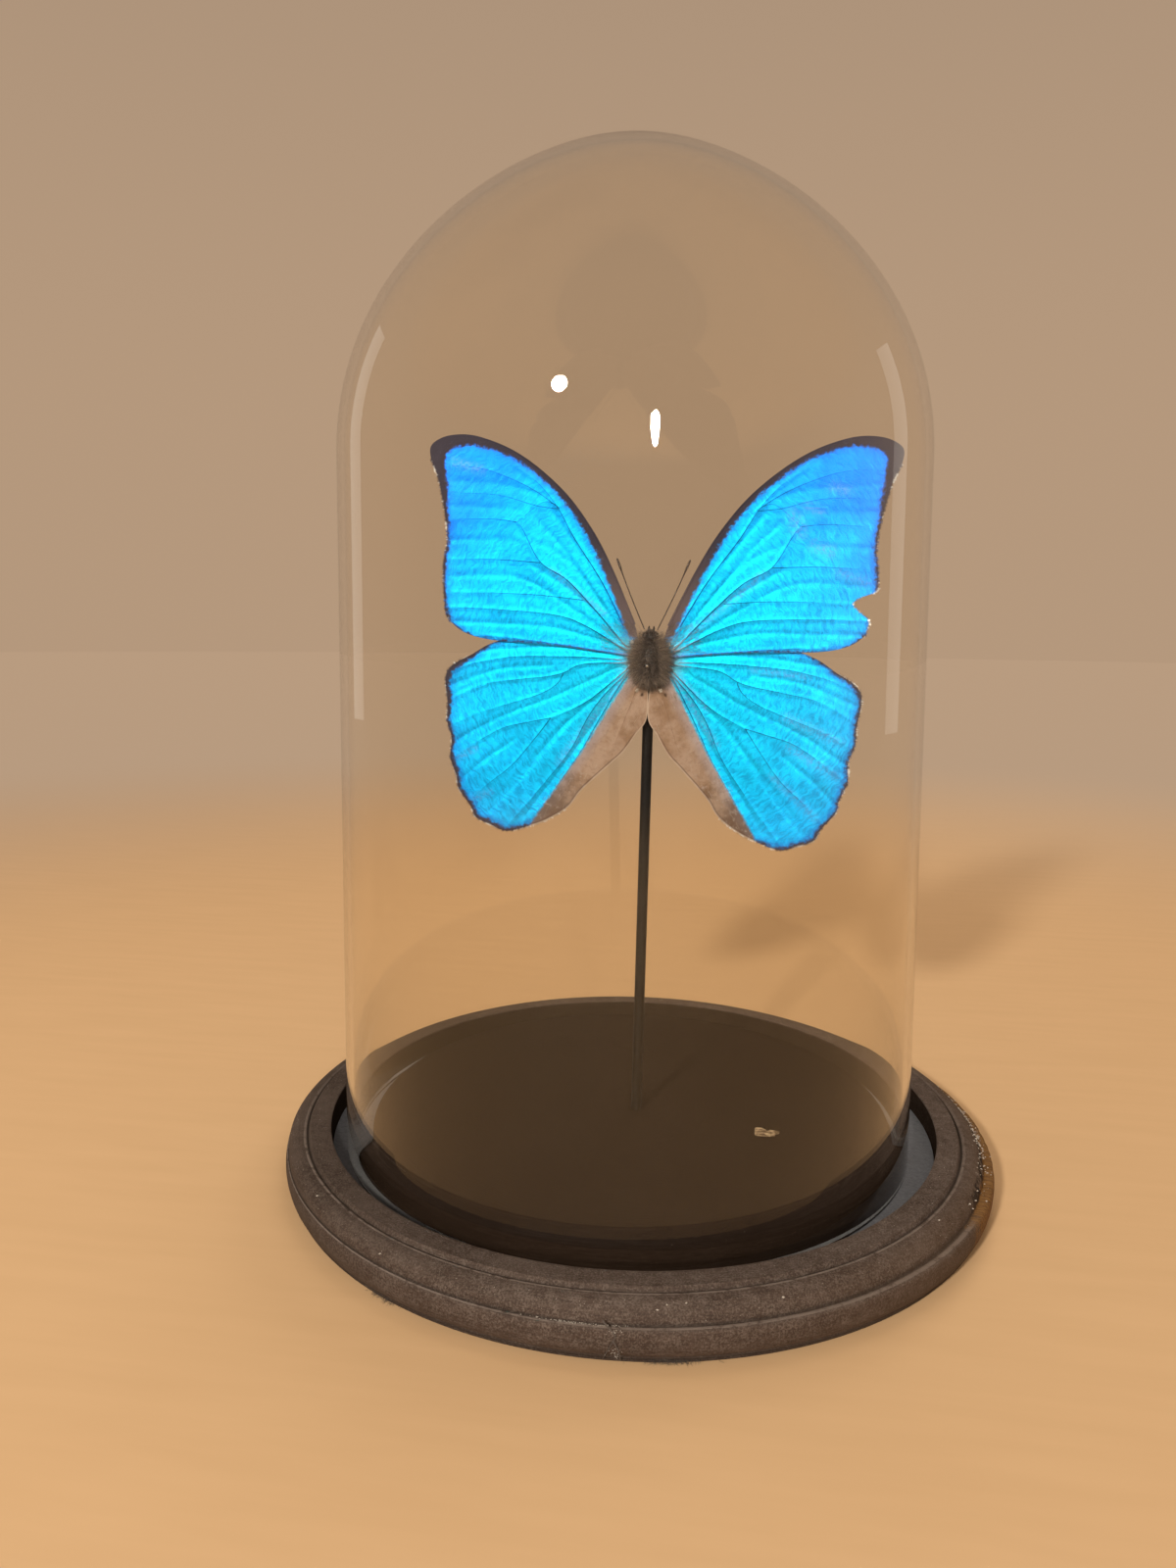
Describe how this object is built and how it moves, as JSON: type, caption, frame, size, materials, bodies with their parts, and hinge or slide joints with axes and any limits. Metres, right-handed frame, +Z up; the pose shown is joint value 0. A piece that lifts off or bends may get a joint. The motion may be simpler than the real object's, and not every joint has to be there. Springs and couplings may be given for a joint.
{
  "type": "butterfly in glass dome",
  "caption": "Blue morpho butterfly, wings spread, on a thin black rod under a tall round-topped glass dome that stands in the groove of a turned dark wooden base.",
  "frame": {"origin": "centre of the underside of the base, on the surface it stands on", "axes": "+Z up; -Y is the front, where the blue upper side of the wings faces; +X to the right in the view from the front"},
  "size_m": [0.2168, 0.2168, 0.2979],
  "materials": {
    "stained_wood": "matt dark stain, dusty, worn on the edges",
    "grey_felt": "short grey-blue felt",
    "dome_glass": "clear, smooth, faintly warm",
    "black_paint": "satin black",
    "pin_steel": "polished",
    "body_fur": "dense dark brown hair",
    "wing_scales": "iridescent blue scales, brown margins and underside",
    "chitin": "dark brown, satin",
    "bare_wood": "pale, split and unfinished"
  },
  "bodies": {
    "root": {"base": "stained_wood", "felt_ring": "grey_felt", "glass_dome": "dome_glass", "rod": "black_paint", "pin": "pin_steel", "body": "body_fur", "forewing_left": "wing_scales", "forewing_right": "wing_scales", "hindwing_left": "wing_scales", "hindwing_right": "wing_scales", "antenna_left": "chitin", "antenna_right": "chitin", "leg_left_mid": "chitin", "leg_left_hind": "chitin", "leg_right_mid": "chitin", "leg_right_hind": "chitin", "wood_flake": "bare_wood"}
  },
  "joints": []
}
